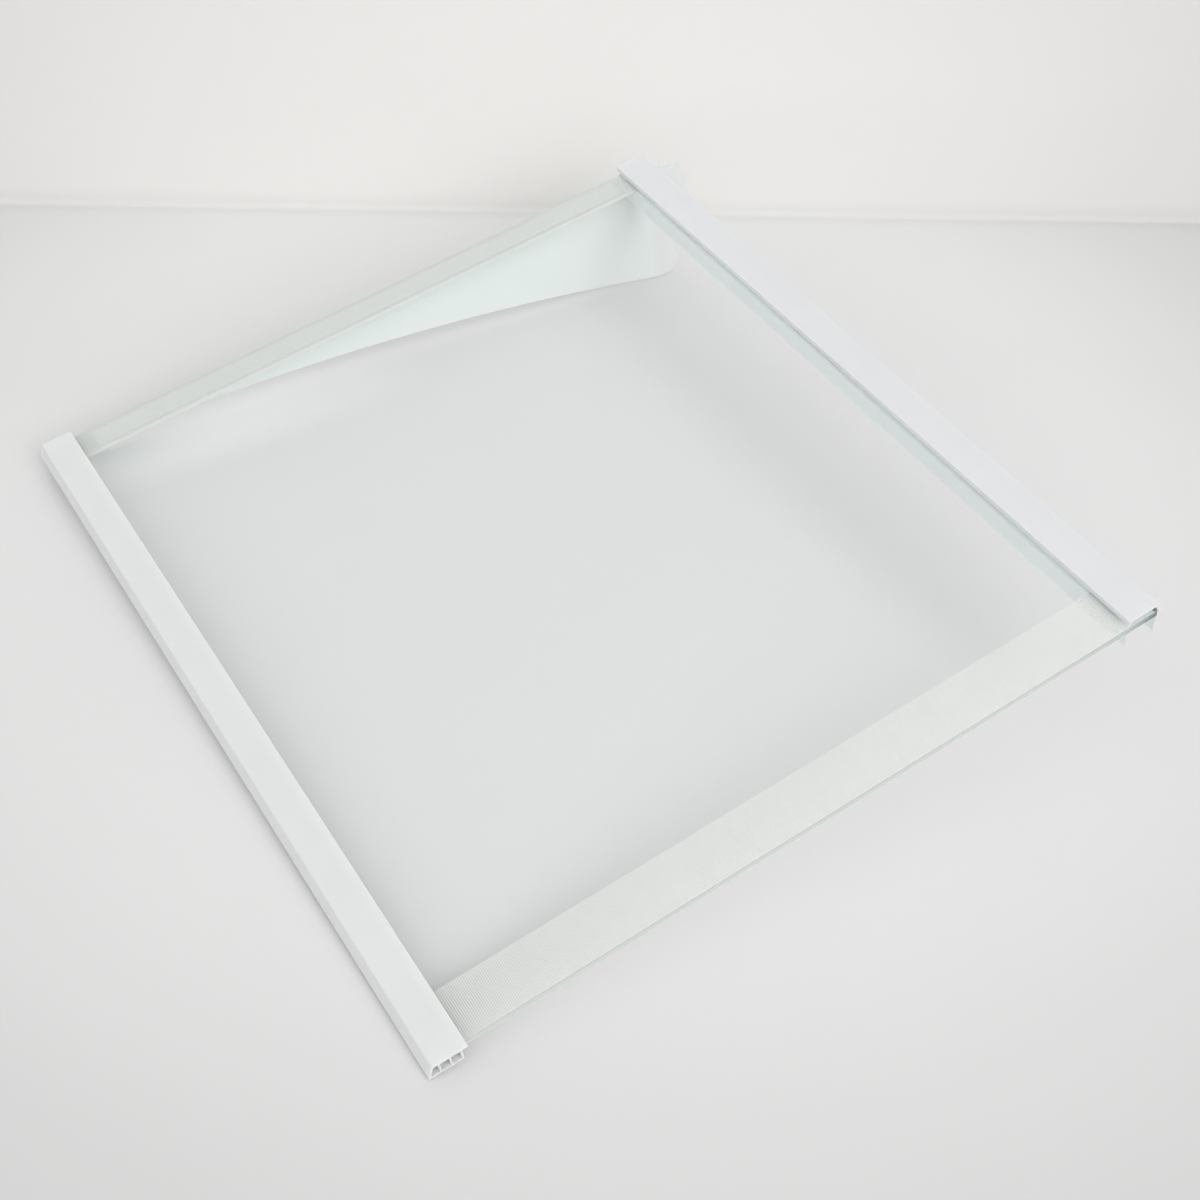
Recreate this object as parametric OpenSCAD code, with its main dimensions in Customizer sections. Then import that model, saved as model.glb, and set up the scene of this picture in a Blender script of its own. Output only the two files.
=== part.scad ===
// Glass refrigerator shelf with extruded trims and one pressed steel side bracket.
// Millimetres. +X runs to the shelf's right, +Y to its back and +Z up, with the glass level.
// The origin is the roof of the bracket's hook, where the shelf bears on the cabinet's rail.
// Sizes below are taken from the glass: its left edge, the front of the open glass, and its top face.

/* [Glass] */
// Width of the glass, left to right
glass_w = 438.4; // [300:0.1:600]
// Depth of the glass left open between the two trims
open_d = 355.7; // [250:0.1:500]
// Thickness of the tempered glass
glass_t = 3.2; // [3:0.1:5]
// Width of the ground arris along every edge
arris_w = 0.5; // [0.2:0.1:1]
// Radius of the glass's corners seen from above
glass_corner_r = 1.5; // [0.5:0.1:2.5]

/* [Front trim] */
// How far the front trim runs past the glass's right edge
front_past = 2.8; // [0:0.1:6]
// Depth of the lip that lies on the glass
lip_d = 3; // [2:0.1:6]
// Depth of the whole front trim at its bottom
front_d = 20; // [16:0.1:30]
// How far the fascia leans out between its top and its bottom
fascia_lean = 2.6; // [0:0.1:5]
// Height of the front trim
front_h = 8; // [7:0.1:14]
// Wall of the front trim
front_wall = 1; // [0.8:0.1:1.2]
// Radius of the nose, between top and fascia
nose_r = 1.6; // [0.5:0.1:2]
// Number of ribs inside the front trim
rib_count = 2; // [1:1:3]

/* [Rear trim] */
// How far the rear trim stops short of the glass's right edge
rear_short = 1.1; // [0:0.1:6]
// Depth of the rear trim
rear_d = 18.3; // [14:0.1:30]
// Height of the rear trim's front lip above the glass
rear_lip_h = 3.2; // [2.5:0.1:6]
// Rise of the rear trim's top from its front to its back
rear_rise = 0.6; // [0:0.1:2]
// Wall of the rear trim
rear_wall = 1.1; // [0.8:0.1:1.5]
// Depth of the front leg below the top of the glass
front_leg_h = 15.4; // [10:0.1:25]
// Depth of the rear leg below the top of the glass
rear_leg_h = 16.4; // [10:0.1:25]
// Radius of the rear trim's outer edges
rear_edge_r = 0.5; // [0.2:0.1:0.8]

/* [Bracket] */
// Thickness of the steel sheet
sheet_t = 1.4; // [1:0.1:2]
// Inside radius of the bend between web and flange
bend_r = 1.2; // [0.5:0.1:3]
// Width of the flange under the glass, over the bend
flange_w = 18.9; // [12:0.1:25]
// Distance from the front trim's lip to the bracket's front end
bracket_front = 7.5; // [3:0.1:20]
// Distance from the back of the flange to the rear trim
flange_end_gap = 5; // [1:0.1:15]
// Depth of the bracket's front end below the top of the glass
bracket_front_h = 21.9; // [15:0.1:30]
// Length of the bracket's level lower edge at its front
level_len = 67.5; // [20:0.5:110]
// Depth of the bracket's back end below the top of the glass
bracket_rear_h = 94; // [70:0.5:130]
// Length of the level lower edge at the bracket's back, to its corner
heel_len = 13.6; // [12:0.1:30]
// Rise of the lower edge's curve above its chord
curve_rise = 8.2; // [2:0.1:12]
// Radius of the bracket's lower back corner
heel_r = 7.3; // [2:0.1:8]
// Distance from the back of the rear trim to the rail's face
rail_gap = 18.3; // [10:0.1:30]

/* [Hook] */
// Width of the hook's notch, which takes the rail's sheet
notch_w = 4.4; // [2:0.1:6]
// Depth of the notch's roof below the top of the glass
notch_roof_h = 33; // [28:0.1:40]
// Length of the hook's claw below the notch's roof
claw_len = 11; // [5:0.1:20]
// Thickness of the claw at its tip
claw_t = 8.7; // [5:0.1:12]
// How far the claw's back leans out from its top to its tip
claw_lean = 5; // [0:0.1:6]
// Depth of the hook's top corner below the top of the glass
hook_top_h = 17; // [14:0.1:22]
// Distance in front of the rear trim's back where the bracket's top starts to fall
shoulder_back = 10; // [2:0.1:16]
// Radius of the hook's outer corners
hook_r = 2.5; // [0.5:0.1:3]

/* [Fits] */
// Clearance between the glass and a trim
trim_clear = 0.1; // [0.05:0.01:0.2]
// Clearance between the bracket and the ends of glass and trims
bracket_clear = 0.3; // [0.2:0.05:1]
// Thickness of the adhesive between the glass and the flange
bond_t = 0.4; // [0.2:0.05:1]
// Margin of the adhesive inside the flange's edges
bond_margin = 1.6; // [1:0.1:3]

/* [Hidden] */

// Steps in each rounded corner of an outline, and along the bracket's curve
corner_steps = 6;
curve_steps = 24;
$fn = 48;

glass_front_y = -lip_d + trim_clear;
rear_back_y = open_d + rear_d;
glass_back_y = rear_back_y - rear_wall - trim_clear;
under_glass_z = -glass_t;

front_top_z = trim_clear + front_wall;
front_bottom_z = front_top_z - front_h;

web_x = -bracket_clear - sheet_t;
flange_top_z = under_glass_z - bond_t;
flange_back_y = open_d - flange_end_gap;
rail_y = rear_back_y + rail_gap;
claw_front_y = rail_y + notch_w;
claw_back_y = claw_front_y + claw_t;

// Place of the notch's roof, the origin of the shelf
seat = [web_x + sheet_t / 2, rail_y + notch_w / 2, -notch_roof_h];

function unit(v) = v / norm(v);
function turn(from, to) = let (a = to - from) a > 180 ? a - 360 : a < -180 ? a + 360 : a;
function direction(v) = atan2(v[1], v[0]);

// Points of the arc that rounds corner p between its two neighbours
function rounded_corner(before, p, after, r) =
    let (
        u = unit(before - p),
        v = unit(after - p),
        half = acos(u * v) / 2,
        centre = p + unit(u + v) * r / sin(half),
        from = direction(u * r / tan(half) + p - centre),
        to = direction(v * r / tan(half) + p - centre),
        swing = turn(from, to)
    )
    [for (i = [0 : corner_steps]) centre + r * [cos(from + swing * i / corner_steps),
                                                sin(from + swing * i / corner_steps)]];

// Outline through corners given as [across, up, radius], with radius 0 for a sharp one
function rounded_outline(corners) =
    let (n = len(corners), at = [for (c = corners) [c[0], c[1]]])
    [for (i = [0 : n - 1])
        each corners[i][2] > 0
            ? rounded_corner(at[(i + n - 1) % n], at[i], at[(i + 1) % n], corners[i][2])
            : [at[i]]];

// Moves a piece from the glass's corner to the hook's origin
module hung() translate(-seat) children();

// Extrudes a section drawn in Y and Z along X
module along_x(start, length)
    translate([start, 0, 0]) rotate([90, 0, 90]) linear_extrude(length) children();

// Extrudes a section drawn in X and Z along Y
module along_y(start, length)
    translate([0, start + length, 0]) rotate([90, 0, 0]) linear_extrude(length) children();

// Rectangle with rounded corners from its low corner
module rounded_rectangle(size, r)
    polygon(rounded_outline([[0, 0, r], [size[0], 0, r], [size[0], size[1], r], [0, size[1], r]]));

// Tempered plate, ground along its edges
module glass_plate() {
    depth = glass_back_y - glass_front_y;
    color([0.80, 0.91, 0.87, 0.45]) hung() intersection() {
        translate([0, glass_front_y, -glass_t]) linear_extrude(glass_t)
            rounded_rectangle([glass_w, depth], glass_corner_r);
        along_y(glass_front_y - 1, depth + 2)
            polygon([[arris_w, 0], [glass_w - arris_w, 0], [glass_w, -arris_w],
                     [glass_w, arris_w - glass_t], [glass_w - arris_w, -glass_t],
                     [arris_w, -glass_t], [0, arris_w - glass_t], [0, -arris_w]]);
    }
}

// Hollow white profile whose lip lies on the glass's front edge
module front_trim() {
    nose_y = -front_d + fascia_lean;
    body_back_y = -lip_d;
    inner_back_y = body_back_y - front_wall;
    inner_top_z = front_top_z - front_wall;
    inner_bottom_z = front_bottom_z + front_wall;
    lean = fascia_lean / front_h;
    inner_nose_y = nose_y + front_wall * (sqrt(1 + lean * lean) - lean);
    inner_toe_y = inner_nose_y - lean * (inner_top_z - inner_bottom_z);
    chamber_pitch = (inner_back_y - inner_toe_y + front_wall) / (rib_count + 1);
    color([0.94, 0.96, 0.95]) hung() along_x(0, glass_w + front_past) difference() {
        polygon(rounded_outline([
            [0, front_top_z, 0.3],
            [nose_y, front_top_z, nose_r],
            [-front_d, front_bottom_z, 0.5],
            [body_back_y, front_bottom_z, 0.5],
            [body_back_y, trim_clear, 0],
            [0, trim_clear, 0.3]]));
        for (i = [0 : rib_count]) intersection() {
            polygon([[inner_back_y, inner_top_z], [inner_nose_y, inner_top_z],
                     [inner_toe_y, inner_bottom_z], [inner_back_y, inner_bottom_z]]);
            translate([inner_back_y - i * chamber_pitch - chamber_pitch + front_wall, front_bottom_z])
                square([chamber_pitch - front_wall, front_h]);
        }
    }
}

// White profile that grips the glass's back edge and stands on two legs
module rear_trim() {
    front_y = open_d;
    top_front_z = rear_lip_h;
    top_back_z = rear_lip_h + rear_rise;
    shelf_z = under_glass_z - trim_clear;
    below_z = shelf_z - rear_wall;
    inner_front_y = front_y + rear_wall;
    inner_back_y = rear_back_y - rear_wall;
    color([0.95, 0.96, 0.97]) hung() along_x(0, glass_w - rear_short) polygon(rounded_outline([
        [front_y, trim_clear, 0],
        [front_y, top_front_z, rear_edge_r],
        [rear_back_y, top_back_z, rear_edge_r],
        [rear_back_y, -rear_leg_h, 0.3],
        [inner_back_y, -rear_leg_h, 0.3],
        [inner_back_y, below_z, 0.3],
        [inner_front_y, below_z, 0.3],
        [inner_front_y, -front_leg_h, 0.3],
        [front_y, -front_leg_h, 0.3],
        [front_y, shelf_z, 0],
        [inner_back_y, shelf_z, 0],
        [inner_back_y, top_back_z - rear_wall, 0.3],
        [inner_front_y, top_front_z - rear_wall, 0.3],
        [inner_front_y, trim_clear, 0]]));
}

// Points of the bracket's lower edge, from the back to the front: a chord raised into a curve
function lower_edge(back, front) =
    [for (i = [1 : curve_steps - 1])
        let (t = i / curve_steps)
        back + (front - back) * t + [0, 4 * curve_rise * t * (1 - t)]];

// Pressed steel bracket: a tapered web, a flange under the glass and a hook for the rail
module left_bracket() {
    bend_z = flange_top_z - bend_r - sheet_t;
    heel = [rail_y - heel_len, -bracket_rear_h];
    knee = [bracket_front + level_len, -bracket_front_h];
    curve = lower_edge(heel, knee);
    tip_z = -notch_roof_h - claw_len;
    web = rounded_outline(concat(
        [[bracket_front, bend_z, 0],
         [rear_back_y - shoulder_back, bend_z, 3],
         [claw_back_y - claw_lean, -hook_top_h, hook_r],
         [claw_back_y, tip_z, hook_r],
         [claw_front_y, tip_z, 1],
         [claw_front_y, -notch_roof_h, 0],
         [rail_y, -notch_roof_h, 0],
         [rail_y, -bracket_rear_h, heel_r],
         [heel[0], heel[1], 20]],
        [for (p = curve) [p[0], p[1], 0]],
        [[knee[0], knee[1], 60],
         [bracket_front, -bracket_front_h, 3]]));
    color([0.93, 0.95, 0.94]) hung() {
        along_x(web_x, sheet_t) polygon(web);
        along_y(bracket_front, flange_back_y - bracket_front)
            translate([web_x, 0]) bent_flange(bend_z);
    }
}

// Section of the flange and its bend, from the web's top outwards
module bent_flange(bend_z) {
    outer_r = bend_r + sheet_t;
    translate([outer_r, bend_z]) intersection() {
        difference() {
            circle(outer_r);
            circle(bend_r);
        }
        translate([-outer_r, 0]) square(outer_r);
    }
    translate([outer_r, flange_top_z - sheet_t]) square([flange_w - outer_r, sheet_t]);
}

// Adhesive layer that bonds the flange to the underside of the glass
module bracket_bond() {
    start_x = web_x + bend_r + sheet_t + bond_margin;
    end_x = web_x + flange_w - bond_margin;
    start_y = bracket_front + bond_margin;
    end_y = flange_back_y - bond_margin;
    color([0.90, 0.92, 0.90]) hung() translate([start_x, start_y, flange_top_z])
        cube([end_x - start_x, end_y - start_y, bond_t]);
}

glass_plate();
front_trim();
rear_trim();
left_bracket();
bracket_bond();
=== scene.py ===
import math

import bmesh
import bpy
from mathutils import Matrix, Vector


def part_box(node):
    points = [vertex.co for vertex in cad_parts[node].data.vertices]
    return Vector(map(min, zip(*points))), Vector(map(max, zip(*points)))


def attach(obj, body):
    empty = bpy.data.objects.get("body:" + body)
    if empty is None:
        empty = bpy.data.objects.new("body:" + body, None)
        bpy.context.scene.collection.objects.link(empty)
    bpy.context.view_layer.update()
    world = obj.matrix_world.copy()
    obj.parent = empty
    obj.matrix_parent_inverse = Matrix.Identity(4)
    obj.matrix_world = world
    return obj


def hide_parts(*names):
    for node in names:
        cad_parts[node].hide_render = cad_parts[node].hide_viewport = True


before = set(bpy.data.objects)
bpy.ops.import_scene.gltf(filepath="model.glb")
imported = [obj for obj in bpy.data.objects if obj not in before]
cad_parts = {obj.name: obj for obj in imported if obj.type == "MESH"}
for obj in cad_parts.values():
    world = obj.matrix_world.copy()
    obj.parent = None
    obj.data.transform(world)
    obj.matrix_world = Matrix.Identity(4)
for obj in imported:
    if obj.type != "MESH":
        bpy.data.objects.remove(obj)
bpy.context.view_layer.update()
MM = 0.001


# ---- Glass plate ----
# The shelf itself is one sheet of clear float glass, 3.2 mm thick. Its rim is ground flat, its
# sharp corners are taken off by a fine arris, and it is tempered after that.
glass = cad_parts["glass_plate"]
glass_low, glass_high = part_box("glass_plate")
GLASS_TINT = "FEFFFF"       # what the sheet lets through
RIM_SHADE_TONES = (               # the ground rim's green, painted darker from the open edge to its end in the rear trim: painted shade
    (60 * MM, "CBD1CE"), (21 * MM, "BCC5C2"), (12 * MM, "A2AEAA"), (3 * MM, "6D817C"))
ARRIS_PAINTED_SHADE = 0.45           # how far the arris is painted darker over the sheet's own green: a painted dark line
RIM_GRIT = 0.4 * MM         # marks of the grinding belt, drawn coarse enough to show
SMEAR = 60 * MM             # size of the faint wipe marks that dull the gloss


def linear(hex_colour):
    """An sRGB hex colour as the linear RGBA that a shader takes."""
    channels = [int(hex_colour[i:i + 2], 16) / 255 for i in (0, 2, 4)]
    return [c / 12.92 if c <= 0.04045 else ((c + 0.055) / 1.055) ** 2.4 for c in channels] + [1]


def add(tree, kind, fields={}, sockets={}):
    """Adds a shader node. fields are its own settings; sockets maps its inputs to values or links."""
    made = tree.nodes.new("ShaderNode" + kind)
    for name, value in fields.items():
        setattr(made, name, value)
    for key, value in sockets.items():
        if isinstance(value, bpy.types.NodeSocket):
            tree.links.new(value, made.inputs[key])
        else:
            made.inputs[key].default_value = value
    return made


def material(name):
    """An empty node material and its tree."""
    made = bpy.data.materials.new(name)
    made.use_nodes = True
    made.node_tree.nodes.clear()
    return made, made.node_tree


# Soda-lime float glass: clear and mirror-smooth on its faces, so they show the room in a faint
# gloss. Its ground rim is matt and takes the green of the long way through the sheet; its darkening
# towards the rear trim and at the arris is painted shade.
float_glass, tree = material("tempered_float_glass")
coords = add(tree, "TexCoord")
normal = add(tree, "SeparateXYZ", {}, {0: coords.outputs["Normal"]})
upright = add(tree, "Math", {"operation": "ABSOLUTE"}, {0: normal.outputs["Z"]})
is_rim = add(tree, "Math", {"operation": "LESS_THAN"}, {0: upright.outputs[0], 1: 0.9})
is_arris = add(tree, "Math", {"operation": "GREATER_THAN"}, {0: upright.outputs[0], 1: 0.3})
place = add(tree, "SeparateXYZ", {}, {0: coords.outputs["Object"]})
wipe = add(tree, "TexNoise", {}, {"Vector": coords.outputs["Object"], "Scale": 1 / SMEAR})
gloss = add(tree, "MapRange", {}, {"Value": wipe.outputs["Fac"], "From Min": 0.35,
                                   "From Max": 0.75, "To Min": 0.0, "To Max": 0.06})
side = add(tree, "NewGeometry")
tint = add(tree, "MixRGB", {}, {0: side.outputs["Backfacing"], 1: linear(GLASS_TINT),
                                2: linear("FFFFFF")})
clear = add(tree, "BsdfTransparent", {}, {"Color": tint.outputs[0]})
shine = add(tree, "BsdfGlossy", {}, {"Color": (1, 1, 1, 1), "Roughness": gloss.outputs[0]})
fresnel = add(tree, "Fresnel", {}, {"IOR": 1.52})
outside = add(tree, "Math", {"operation": "SUBTRACT"}, {0: 1.0, 1: side.outputs["Backfacing"]})
mirror = add(tree, "Math", {"operation": "MULTIPLY"}, {0: fresnel.outputs[0],
                                                       1: outside.outputs[0]})
face = add(tree, "MixShader", {}, {0: mirror.outputs[0], 1: clear.outputs[0],
                                   2: shine.outputs[0]})
grit = add(tree, "TexNoise", {}, {"Vector": coords.outputs["Object"], "Scale": 1 / RIM_GRIT,
                                  "Detail": 3})
# Painted shade: the rim's green darkens towards its end in the rear trim.
along_rim = add(tree, "MapRange", {}, {
    "Value": place.outputs["Y"], "From Min": glass_high.y - RIM_SHADE_TONES[0][0],
    "From Max": glass_high.y})
rim_green_shade = add(tree, "ValToRGB", {}, {0: along_rim.outputs[0]})
ramp = rim_green_shade.color_ramp
while len(ramp.elements) < len(RIM_SHADE_TONES):
    ramp.elements.new(0.5)
for stop, (from_end, tone) in zip(ramp.elements, RIM_SHADE_TONES):
    stop.position = 1 - from_end / RIM_SHADE_TONES[0][0]
    stop.color = linear(tone)
# Painted shade: the arris is darkened into a dark line.
arris_shade = add(tree, "Math", {"operation": "MULTIPLY"}, {0: is_arris.outputs[0], 1: ARRIS_PAINTED_SHADE})
rim = add(tree, "MixRGB", {}, {0: arris_shade.outputs[0], 1: rim_green_shade.outputs[0], 2: linear("95A09C")})
rim_bump = add(tree, "Bump", {}, {"Strength": 0.3, "Distance": 0.05 * MM,
                                  "Height": grit.outputs["Fac"]})
ground = add(tree, "BsdfPrincipled", {}, {"Base Color": rim.outputs[0], "Roughness": 0.6,
                                          "IOR": 1.52, "Specular IOR Level": 0.2,
                                          "Normal": rim_bump.outputs[0]})
seen_rim = add(tree, "Math", {"operation": "MULTIPLY"}, {0: is_rim.outputs[0],
                                                         1: outside.outputs[0]})
whole = add(tree, "MixShader", {}, {0: seen_rim.outputs[0], 1: face.outputs[0],
                                    2: ground.outputs[0]})
add(tree, "OutputMaterial", {}, {"Surface": whole.outputs[0]})
glass.data.materials.clear()
glass.data.materials.append(float_glass)


# ---- Printed bands ----
# Along both sides the glass carries a band of fine white cross lines, silk-screened in ceramic
# enamel and fired into its lower face when the sheet is tempered.
LINE_PITCH = 1.0 * MM
PRINT_SINK = 0.05 * MM      # the enamel lies this deep in the glass's lower face
THIN_PRINT = 0.2            # share of the light that goes on through the thin enamel
print_bands = {             # left and right edge of each band
    "left_print": (glass_low.x + 0.4 * MM, glass_low.x + 20.4 * MM),
    "right_print": (glass_high.x - 28.8 * MM, glass_high.x - 0.4 * MM),
}

# Ceramic enamel: glass frit with white pigment, which fires to a dense satin white.
enamel, tree = material("fired_white_enamel")
coords = add(tree, "TexCoord")
cloud = add(tree, "TexNoise", {}, {"Vector": coords.outputs["Object"], "Scale": 1 / (15 * MM)})
tone = add(tree, "MixRGB", {}, {0: cloud.outputs["Fac"], 1: linear("E1E2DF"),
                                2: linear("E7E8E5")})
body = add(tree, "BsdfPrincipled", {}, {"Base Color": tone.outputs[0], "Roughness": 0.5})
passed = add(tree, "BsdfTranslucent", {}, {"Color": tone.outputs[0]})
thin = add(tree, "MixShader", {}, {0: THIN_PRINT, 1: body.outputs[0], 2: passed.outputs[0]})
add(tree, "OutputMaterial", {}, {"Surface": thin.outputs[0]})

for name, (band_left, band_right) in print_bands.items():
    lines = round((glass_high.y - glass_low.y - 2 * MM) / LINE_PITCH)
    mesh = bmesh.new()
    bmesh.ops.create_grid(mesh, x_segments=1, y_segments=3 * lines, size=0.5)
    gaps = [f for f in mesh.faces     # two thirds of the pitch are line, one third is bare
            if int((f.calc_center_median().y + 0.5) * 3 * lines) % 3 == 2]
    bmesh.ops.delete(mesh, geom=gaps, context="FACES")
    bmesh.ops.scale(mesh, vec=(band_right - band_left, lines * LINE_PITCH, 1), verts=mesh.verts)
    bmesh.ops.translate(mesh, verts=mesh.verts, vec=(
        (band_left + band_right) / 2, (glass_low.y + glass_high.y) / 2, glass_low.z + PRINT_SINK))
    data = bpy.data.meshes.new(name)
    mesh.to_mesh(data)
    mesh.free()
    data.materials.append(enamel)
    band = bpy.data.objects.new(name, data)
    bpy.context.scene.collection.objects.link(band)
    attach(band, "root")


# ---- Front trim ----
# A hollow section of white plastic, extruded in long lengths, cut off square and slid on to the
# glass. Its cut ends stay open, so the ribs in its chambers can be seen there.
DIE_LINE = 0.8 * MM         # spacing of the faint lines that the extrusion die leaves
GLOW_DEPTH = 2.0 * MM       # how far light soaks into the thin white walls
FACING_UP = (0.35, 0.60, 0.93, 0.99)   # where the painted shade changes: a wall ends, a rounded edge starts and ends, a top starts


# Extruded ABS: satin, with a faint random mottle and very faint lines along its length. Its walls and
# rounded edges are painted a little darker than its top: painted shade.
def extruded_plastic(name, light, dark, walls, edges):
    """Puts white plastic on a trim. Returns its tree, coordinates, normal, tone and body."""
    made, tree = material("satin_extruded_plastic_" + name)
    coords = add(tree, "TexCoord")
    along = add(tree, "Mapping", {}, {"Vector": coords.outputs["Object"],
                                      "Scale": (0.02, 1, 1)})
    die = add(tree, "TexNoise", {}, {"Vector": along.outputs[0], "Scale": 1 / DIE_LINE,
                                     "Detail": 4})
    cloud = add(tree, "TexNoise", {}, {"Vector": coords.outputs["Object"],
                                       "Scale": 1 / (40 * MM)})
    worn = add(tree, "MixRGB", {}, {0: cloud.outputs["Fac"], 1: linear(dark), 2: linear(light)})
    normal = add(tree, "SeparateXYZ", {}, {0: coords.outputs["Normal"]})
    # Painted shade by facing: walls and rounded edges are darker than the top.
    facing_shade = add(tree, "ValToRGB", {}, {0: normal.outputs["Z"]})
    for height in FACING_UP[1:-1]:
        facing_shade.color_ramp.elements.new(height)
    for stop, height, grey in zip(facing_shade.color_ramp.elements, FACING_UP,
                                  (walls, edges, edges, "FFFFFF")):
        stop.position, stop.color = height, linear(grey)
    tone = add(tree, "MixRGB", {"blend_type": "MULTIPLY"}, {0: 1.0, 1: worn.outputs[0],
                                                            2: facing_shade.outputs[0]})
    rough = add(tree, "MapRange", {}, {"Value": die.outputs["Fac"], "To Min": 0.38,
                                       "To Max": 0.5})
    lines = add(tree, "Bump", {}, {"Strength": 0.25, "Distance": 0.03 * MM,
                                   "Height": die.outputs["Fac"]})
    body = add(tree, "BsdfPrincipled", {}, {"Base Color": tone.outputs[0], "IOR": 1.5,
                                            "Roughness": rough.outputs[0],
                                            "Subsurface Weight": 0.6,
                                            "Subsurface Radius": (1, 1, 1),
                                            "Subsurface Scale": GLOW_DEPTH,
                                            "Normal": lines.outputs[0]})
    add(tree, "OutputMaterial", {}, {"Surface": body.outputs[0]})
    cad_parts[name].data.materials.clear()
    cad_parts[name].data.materials.append(made)
    return tree, coords, normal, tone, body


extruded_plastic("front_trim", "E0E2E1", "DCDFDE", "FEFCFF", "EFEFF0")


# ---- Rear trim ----
# The same kind of extrusion, with a slot that grips the glass's back edge, a raised strip over
# it and two legs under it. Its legs carry painted green light from the glass, and its slot carries
# painted light and a painted glow.
rear_low, rear_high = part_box("rear_trim")
SLOT = (glass_low.z - 0.5 * MM, glass_high.z + 2.65 * MM)    # lowest and highest point of it
# The slot's faces are painted lighter than the plastic: painted light.
SLOT_PAINTED_LIGHT = "F6FCFB"
SLOT_PAINTED_GLOW = 0.06          # a painted glow: the slot's faces give off this faint light, standing in for light that gets in
LEG_PAINTED_LIGHT = "E6EBEC"        # painted green light that the glass throws on the legs, but not on the back one's rear

tree, coords, normal, tone, body = extruded_plastic("rear_trim", "DCDDDF", "D8D9DC", "FEFEFF", "FAFAFB")
place = add(tree, "SeparateXYZ", {}, {0: coords.outputs["Object"]})
long_face = add(tree, "Math", {"operation": "COMPARE"}, {0: normal.outputs["X"], 1: 0.0, 2: 0.5})
below = add(tree, "Math", {"operation": "LESS_THAN"}, {0: place.outputs["Z"], 1: SLOT[0]})
ahead = add(tree, "Math", {"operation": "LESS_THAN"}, {0: place.outputs["Y"],
                                                       1: rear_high.y - 0.05 * MM})
low_face = add(tree, "Math", {"operation": "MULTIPLY"}, {0: below.outputs[0],
                                                         1: long_face.outputs[0]})
legs = add(tree, "Math", {"operation": "MULTIPLY"}, {0: low_face.outputs[0],
                                                     1: ahead.outputs[0]})
level = add(tree, "Math", {"operation": "COMPARE"}, {
    0: place.outputs["Z"], 1: sum(SLOT) / 2, 2: (SLOT[1] - SLOT[0]) / 2})
between = add(tree, "Math", {"operation": "COMPARE"}, {
    0: place.outputs["Y"], 1: (rear_low.y + rear_high.y) / 2,
    2: (rear_high.y - rear_low.y) / 2 - 0.05 * MM})
slot = add(tree, "Math", {"operation": "MULTIPLY"}, {0: level.outputs[0],
                                                     1: between.outputs[0]})
in_slot = add(tree, "Math", {"operation": "MULTIPLY"}, {0: slot.outputs[0],
                                                        1: long_face.outputs[0]})
# Painted light: the legs' faces get the glass's green light in their colour.
legs_painted_light = add(tree, "MixRGB", {}, {0: legs.outputs[0], 1: tone.outputs[0],
                                   2: linear(LEG_PAINTED_LIGHT)})
# Painted light: the slot's faces are lighter, and below they glow faintly.
slot_painted_light = add(tree, "MixRGB", {}, {0: in_slot.outputs[0], 1: legs_painted_light.outputs[0],
                                    2: linear(SLOT_PAINTED_LIGHT)})
tree.links.new(slot_painted_light.outputs[0], body.inputs["Base Color"])
slot_glow = add(tree, "Math", {"operation": "MULTIPLY"}, {0: in_slot.outputs[0], 1: SLOT_PAINTED_GLOW})
tree.links.new(slot_glow.outputs[0], body.inputs["Emission Strength"])
body.inputs["Emission Color"].default_value = linear("DDF0EC")


# ---- Side bracket ----
# The shelf hangs from one pressed steel bracket: a deep web that tapers to the front, a flange
# bent over under the glass and a hook behind. It is powder-coated white after pressing.
PEEL = 1.6 * MM             # width of the dimples in the coat
HOOK_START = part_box("rear_trim")[1].y
BARE_WHITE = "E4E6E5"       # the hook and the outer face, left without the painted green light thrown by the glass
FLANGE_PAINTED_SHADE = "D4DCDA"      # painted shade on the flange's top, which lies in shade under the glass and its print

# Powder coat on steel: a thick smooth white skin with a slight orange peel. Where the glass throws
# green light on it, that light is painted into its colour.
coat, tree = material("white_powder_coat")
coords = add(tree, "TexCoord")
peel = add(tree, "TexNoise", {}, {"Vector": coords.outputs["Object"], "Scale": 1 / PEEL,
                                  "Detail": 1})
cloud = add(tree, "TexNoise", {}, {"Vector": coords.outputs["Object"], "Scale": 1 / (50 * MM)})
# Painted light: the glass's green light, mixed into the coat's random mottle.
mottle_and_painted_green = add(tree, "MixRGB", {}, {0: cloud.outputs["Fac"], 1: linear("E6ECEA"),
                                2: linear("EAF0EE")})
place = add(tree, "SeparateXYZ", {}, {0: coords.outputs["Object"]})
behind = add(tree, "MapRange", {}, {"Value": place.outputs["Y"], "From Min": HOOK_START,
                                    "From Max": HOOK_START + 6 * MM})
normal = add(tree, "SeparateXYZ", {}, {0: coords.outputs["Normal"]})
outer = add(tree, "Math", {"operation": "LESS_THAN"}, {0: normal.outputs["X"], 1: -0.5})
bare = add(tree, "Math", {"operation": "MAXIMUM"}, {0: behind.outputs[0], 1: outer.outputs[0]})
sides = add(tree, "MixRGB", {}, {0: bare.outputs[0], 1: mottle_and_painted_green.outputs[0],
                                 2: linear(BARE_WHITE)})
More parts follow.
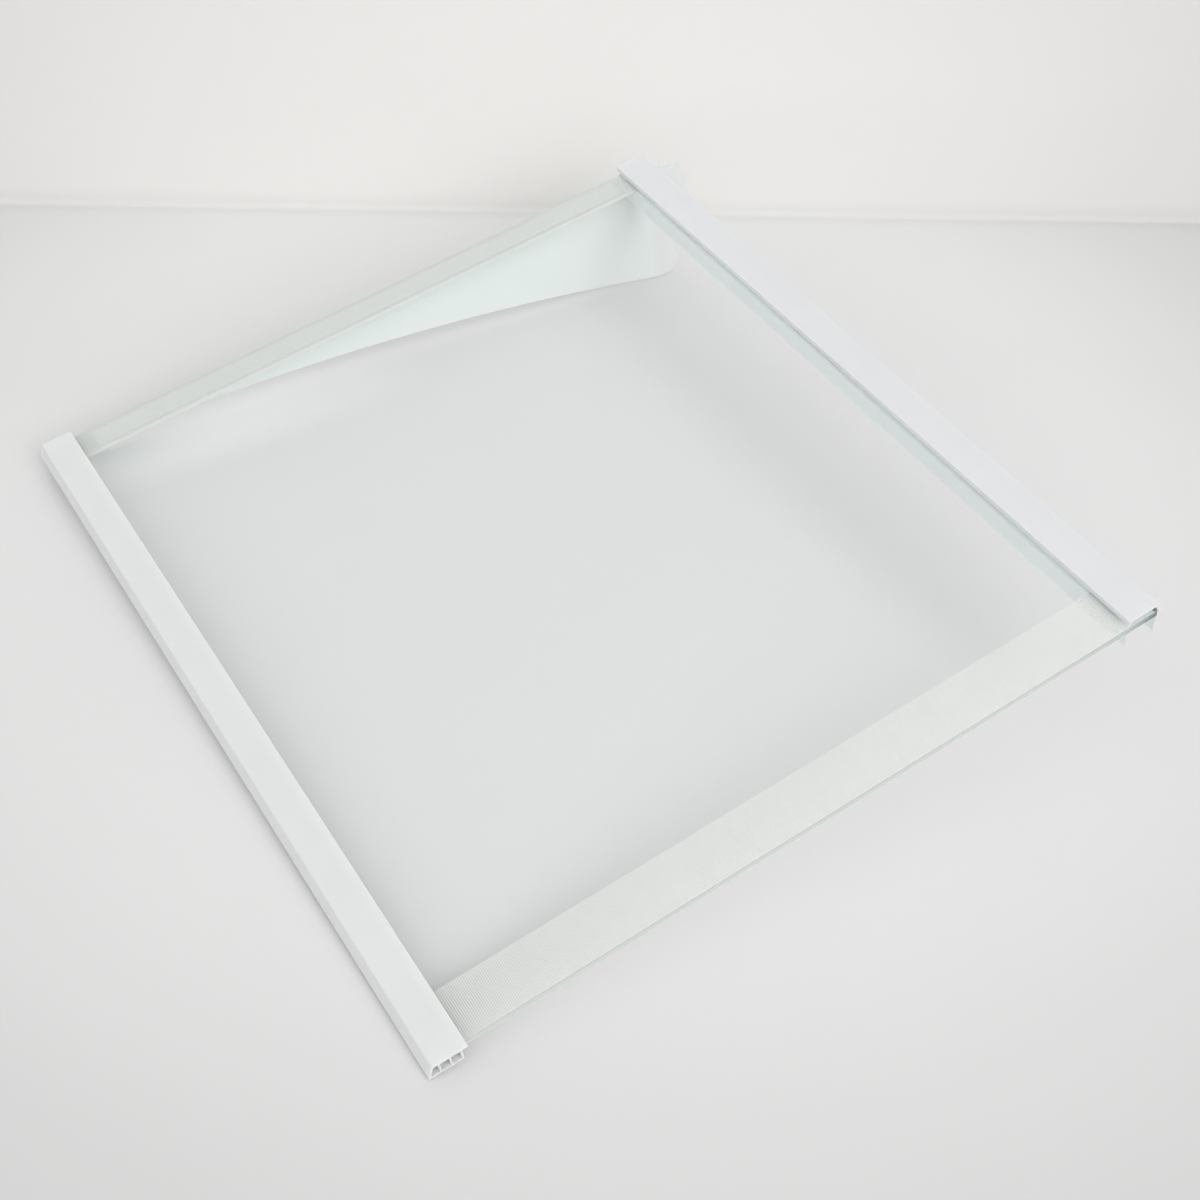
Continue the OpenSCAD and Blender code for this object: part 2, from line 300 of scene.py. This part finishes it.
# Painted shade: the flange's top is greyed where it lies under the glass.
on_top = add(tree, "Math", {"operation": "GREATER_THAN"}, {0: normal.outputs["Z"], 1: 0.7})
tone = add(tree, "MixRGB", {}, {0: on_top.outputs[0], 1: sides.outputs[0],
                                2: linear(FLANGE_PAINTED_SHADE)})
dimples = add(tree, "Bump", {}, {"Strength": 0.3, "Distance": 0.02 * MM,
                                 "Height": peel.outputs["Fac"]})
body = add(tree, "BsdfPrincipled", {}, {"Base Color": tone.outputs[0], "Roughness": 0.35,
                                        "IOR": 1.5, "Normal": dimples.outputs[0]})
add(tree, "OutputMaterial", {}, {"Surface": body.outputs[0]})

# The sheet of the CAD stops 10 mm short of the front trim's rear wall. Under the glass it is seen
# to run right up to the trim, so the visible one is the same sheet with its front end moved on.
RUN_ON = 10.0 * MM          # leaves 0.5 mm to the front trim's rear wall
END_LENGTH = 3.5 * MM       # the rounded front end, which keeps its shape
LIFT = 1.9 * MM             # its lower corner is this much higher there
bracket_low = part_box("left_bracket")[0]
mesh = bmesh.new()
mesh.from_mesh(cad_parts["left_bracket"].data)
bmesh.ops.remove_doubles(mesh, verts=mesh.verts, dist=0.001 * MM)
front_end = [v for v in mesh.verts if v.co.y < bracket_low.y + END_LENGTH]
bmesh.ops.translate(mesh, verts=front_end, vec=(0, -RUN_ON, 0))
bmesh.ops.translate(mesh, verts=[v for v in front_end if v.co.z < 20 * MM], vec=(0, 0, LIFT))
data = bpy.data.meshes.new("bracket_sheet")
mesh.to_mesh(data)
mesh.free()
data.shade_flat()
data.materials.clear()
data.materials.append(coat)
sheet_steel = bpy.data.objects.new("bracket_sheet", data)
bpy.context.scene.collection.objects.link(sheet_steel)
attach(sheet_steel, "root")
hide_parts("left_bracket")


# ---- Bracket bond ----
# A strip of clear adhesive holds the bracket's flange to the glass's lower face, behind the
# left printed band. It is spread by pressing and cures between the two.

# Cured adhesive: a slightly cloudy film, with patches where it wetted the glass less. Its grey-green
# tone is painted shade, the shade under the printed band.
adhesive, tree = material("cured_clear_adhesive")
coords = add(tree, "TexCoord")
wetting = add(tree, "TexNoise", {}, {"Vector": coords.outputs["Object"],
                                     "Scale": 1 / (8 * MM), "Detail": 2})
# Painted shade: the film's grey-green stands in for the shade under the band.
tone = add(tree, "MixRGB", {}, {0: wetting.outputs["Fac"], 1: linear("CED6D5"),
                                2: linear("D6DEDD")})
body = add(tree, "BsdfPrincipled", {}, {"Base Color": tone.outputs[0], "Roughness": 0.25,
                                        "IOR": 1.45})
add(tree, "OutputMaterial", {}, {"Surface": body.outputs[0]})
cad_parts["bracket_bond"].data.materials.clear()
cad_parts["bracket_bond"].data.materials.append(adhesive)


# ---- Floor and backdrop ----
# The shelf lies on a sheet of white paper, its rear propped up by the bracket's heel, so the
# sheet is tilted against the glass. A second sheet stands up behind a shallow fold.
FLOOR_NORMAL = Vector((-0.0206, 0.190, 0.982)).normalized()
FOLD_POINT = Vector((-0.082, -0.009, -0.0643))   # a point of the fold
FOLD_RUN = Vector((0.395, 0.693, -0.125))        # along the fold
WALL_LEAN = math.radians(100)                    # between the floor and the wall
SHEET = 5.0
FOLD_BEVEL = 4 * MM
CREASE = 14 * MM            # painted shade in the fold reaches this far from it
CREASE_PAINTED_SHADE = 0.93
THROWN_PLACE = (8 * MM, -330 * MM)   # beside the bracket, whose white web throws light there
THROWN_REACH = (40 * MM, 170 * MM)   # half width and half length of that lighter place
THROWN_LIGHT = 1.20         # how much lighter the paper gets in its middle
THROWN_END = (-416 * MM, -396 * MM)  # the front trim, past which none of that light gets
FAR_PAINTED_FALLOFF = 0.82             # painted light falloff: the sheets are this much darker far from the shelf

fold = (FOLD_RUN - FOLD_RUN.dot(FLOOR_NORMAL) * FLOOR_NORMAL).normalized()
to_wall = FLOOR_NORMAL.cross(fold)               # across the floor, away from the shelf

# Matt white paper, mottled by its fibres, with painted shade darker far from the shelf and in the fold,
# and a painted pool of light beside the bracket.
papers = []
for name, dark, light, middle, near, away in (
        ("floor", "DBDBDB", "DFDFDF", (0.135, -0.162, 0.0), 0.30, 0.58),
        ("wall", "E0DFDD", "E4E3E1", (-0.100, -0.044, -0.064), 0.0, 0.61)):
    paper, tree = material("white_paper_" + name)
    papers.append(paper)
    coords = add(tree, "TexCoord")
    mottle = add(tree, "TexNoise", {}, {"Vector": coords.outputs["Object"], "Scale": 1 / 0.25,
                                        "Detail": 3})
    tone = add(tree, "MixRGB", {}, {0: mottle.outputs["Fac"], 1: linear(dark),
                                    2: linear(light)})
    off = add(tree, "VectorMath", {"operation": "DISTANCE"}, {0: coords.outputs["Object"],
                                                              1: middle})
    # Painted shade: the paper darkens away from the shelf, as the light falls off.
    grey = add(tree, "MapRange", {"interpolation_type": "SMOOTHSTEP"}, {
        "Value": off.outputs["Value"], "From Min": near, "From Max": away, "To Min": 1.0,
        "To Max": FAR_PAINTED_FALLOFF})
    arm = add(tree, "VectorMath", {"operation": "SUBTRACT"}, {0: coords.outputs["Object"],
                                                              1: FOLD_POINT})
    across = add(tree, "VectorMath", {"operation": "CROSS_PRODUCT"}, {0: arm.outputs[0], 1: fold})
    from_fold = add(tree, "VectorMath", {"operation": "LENGTH"}, {0: across.outputs[0]})
    # Painted shade: the paper darkens towards the fold.
    crease = add(tree, "MapRange", {"interpolation_type": "SMOOTHSTEP"}, {
        "Value": from_fold.outputs["Value"], "From Min": 0.0, "From Max": CREASE,
        "To Min": CREASE_PAINTED_SHADE, "To Max": 1.0})
    falloff_and_crease_shade = add(tree, "Math", {"operation": "MULTIPLY"}, {0: grey.outputs[0],
                                                           1: crease.outputs[0]})
    squeezed = add(tree, "VectorMath", {"operation": "MULTIPLY"}, {
        0: coords.outputs["Object"], 1: (1, THROWN_REACH[0] / THROWN_REACH[1], 0)})
    beside = add(tree, "VectorMath", {"operation": "DISTANCE"}, {
        0: squeezed.outputs[0],
        1: (THROWN_PLACE[0], THROWN_PLACE[1] * THROWN_REACH[0] / THROWN_REACH[1], 0)})
    place = add(tree, "SeparateXYZ", {}, {0: coords.outputs["Object"]})
    behind_trim = add(tree, "MapRange", {}, {
        "Value": place.outputs["Y"], "From Min": THROWN_END[0], "From Max": THROWN_END[1],
        "To Min": 1.0, "To Max": THROWN_LIGHT})
    # Painted light: a lighter pool on the paper beside the bracket.
    thrown = add(tree, "MapRange", {"interpolation_type": "SMOOTHSTEP"}, {
        "Value": beside.outputs["Value"], "From Min": 0.0, "From Max": THROWN_REACH[0],
        "To Min": behind_trim.outputs[0], "To Max": 1.0})
    painted_light_and_shade = add(tree, "Math", {"operation": "MULTIPLY"}, {0: falloff_and_crease_shade.outputs[0],
                                                        1: thrown.outputs[0]})
    shade = add(tree, "VectorMath", {"operation": "SCALE"}, {0: tone.outputs[0],
                                                             "Scale": painted_light_and_shade.outputs[0]})
    sheet = add(tree, "BsdfDiffuse", {}, {"Color": shade.outputs[0]})
    under = add(tree, "BsdfTransparent")
    facing = add(tree, "NewGeometry")
    one_sided = add(tree, "MixShader", {}, {0: facing.outputs["Backfacing"],
                                            1: sheet.outputs[0], 2: under.outputs[0]})
    add(tree, "OutputMaterial", {}, {"Surface": one_sided.outputs[0]})

mesh = bmesh.new()
bmesh.ops.create_grid(mesh, x_segments=1, y_segments=1, size=SHEET)
bmesh.ops.translate(mesh, verts=mesh.verts, vec=(0, -SHEET, 0))
far = [e for e in mesh.edges if all(abs(v.co.y) < 1e-6 for v in e.verts)]
up = bmesh.ops.extrude_edge_only(mesh, edges=far)
bmesh.ops.translate(mesh, verts=[v for v in up["geom"] if isinstance(v, bmesh.types.BMVert)],
                    vec=(0, SHEET * -math.cos(WALL_LEAN), SHEET * math.sin(WALL_LEAN)))
bmesh.ops.bevel(mesh, geom=far, offset=FOLD_BEVEL, affect="EDGES", segments=8, profile=0.5,
                material=-1)
bmesh.ops.recalc_face_normals(mesh, faces=mesh.faces)
bmesh.ops.transform(mesh, verts=mesh.verts, matrix=Matrix.Translation(FOLD_POINT)
                    @ Matrix((fold, to_wall, FLOOR_NORMAL)).transposed().to_4x4())
if sum(f.normal.dot(FLOOR_NORMAL) * f.calc_area() for f in mesh.faces) < 0:
    bmesh.ops.reverse_faces(mesh, faces=mesh.faces)
for face in mesh.faces:
    face.material_index = int(face.normal.dot(FLOOR_NORMAL) < 0.9)
data = bpy.data.meshes.new("paper_sweep")
mesh.to_mesh(data)
mesh.free()
for paper in papers:
    data.materials.append(paper)
data.shade_smooth()
sweep = bpy.data.objects.new("paper_sweep", data)
bpy.context.scene.collection.objects.link(sweep)


# ---- Light ----
# A large soft box hangs to the shelf's right, about 45 degrees up, and white walls fill in
# from everywhere, so the shadows are wide and weak.
LIT_MIDDLE = Vector((0.42, -0.16, 0.0))
KEY_DIRECTION = Vector((0.94, 0.19, 0.90)).normalized()
KEY_DISTANCE = 3.0
LAMP_SPREAD = math.radians(90)   # grids in front keep the light on the shelf
ROOM = 0.36                 # strength of the light from all around
TOP_GAIN = 0.36             # how much brighter the room is overhead
FRONT_DIRECTION = Vector((0.60, -0.75, 0.30)).normalized()
FRONT_GAIN = 0.80           # how much brighter the room is in front of the shelf

world = bpy.data.worlds.new("white_room")
bpy.context.scene.world = world
world.use_nodes = True
tree = world.node_tree
tree.nodes.clear()
path = add(tree, "LightPath")
coords = add(tree, "TexCoord")
toward = add(tree, "VectorMath", {"operation": "DOT_PRODUCT"}, {
    0: coords.outputs["Generated"], 1: FRONT_DIRECTION})
front = add(tree, "Math", {"operation": "MAXIMUM"}, {0: toward.outputs["Value"], 1: 0.0})
upward = add(tree, "VectorMath", {"operation": "DOT_PRODUCT"}, {
    0: coords.outputs["Generated"], 1: FLOOR_NORMAL})
top = add(tree, "Math", {"operation": "MAXIMUM"}, {0: upward.outputs["Value"], 1: 0.0})
overhead = add(tree, "Math", {"operation": "MULTIPLY_ADD"}, {0: top.outputs[0], 1: TOP_GAIN,
                                                            2: ROOM})
lifted = add(tree, "Math", {"operation": "MULTIPLY_ADD"}, {0: front.outputs[0], 1: FRONT_GAIN,
                                                          2: overhead.outputs[0]})
room = add(tree, "Background", {}, {"Color": linear("FFFFFF"), "Strength": lifted.outputs[0]})
seen = add(tree, "Background", {}, {"Color": linear("EBEBE9"), "Strength": 1.0})
direct = add(tree, "Math", {"operation": "MAXIMUM"}, {0: path.outputs["Is Camera Ray"],
                                                      1: path.outputs["Is Transmission Ray"]})
shown = add(tree, "Math", {"operation": "MAXIMUM"}, {0: direct.outputs[0],
                                                     1: path.outputs["Is Glossy Ray"]})
mixed = add(tree, "MixShader", {}, {0: shown.outputs[0], 1: room.outputs[0],
                                    2: seen.outputs[0]})
add(tree, "OutputWorld", {}, {"Surface": mixed.outputs[0]})

lamp = bpy.data.lights.new("soft_box", "AREA")
lamp.shape = "SQUARE"
lamp.size = 2.0
lamp.energy = 10.6
lamp.spread = LAMP_SPREAD
soft_box = bpy.data.objects.new("soft_box", lamp)
bpy.context.scene.collection.objects.link(soft_box)
soft_box.matrix_world = (Matrix.Translation(LIT_MIDDLE + KEY_DISTANCE * KEY_DIRECTION)
                         @ KEY_DIRECTION.to_track_quat("Z", "Y").to_matrix().to_4x4())


# ---- Camera ----
# It stands to the right of the shelf's front corner and looks down on it, as in the photograph.
CAMERA_PLACE = Vector((0.7839, -0.4688, 0.7043))
CAMERA_RIGHT = Vector((0.53340, 0.84000, -0.09941))
CAMERA_UP = Vector((-0.61635, 0.46646, 0.63445))
camera_data = bpy.data.cameras.new("camera")
camera_data.lens = 54.37
camera_data.sensor_width = 36
camera_data.clip_end = 50
camera = bpy.data.objects.new("camera", camera_data)
bpy.context.scene.collection.objects.link(camera)
camera.matrix_world = Matrix.Translation(CAMERA_PLACE) @ Matrix((
    CAMERA_RIGHT, CAMERA_UP, CAMERA_RIGHT.cross(CAMERA_UP))).transposed().to_4x4()
bpy.context.scene.camera = camera
bpy.context.scene.view_settings.view_transform = "Standard"
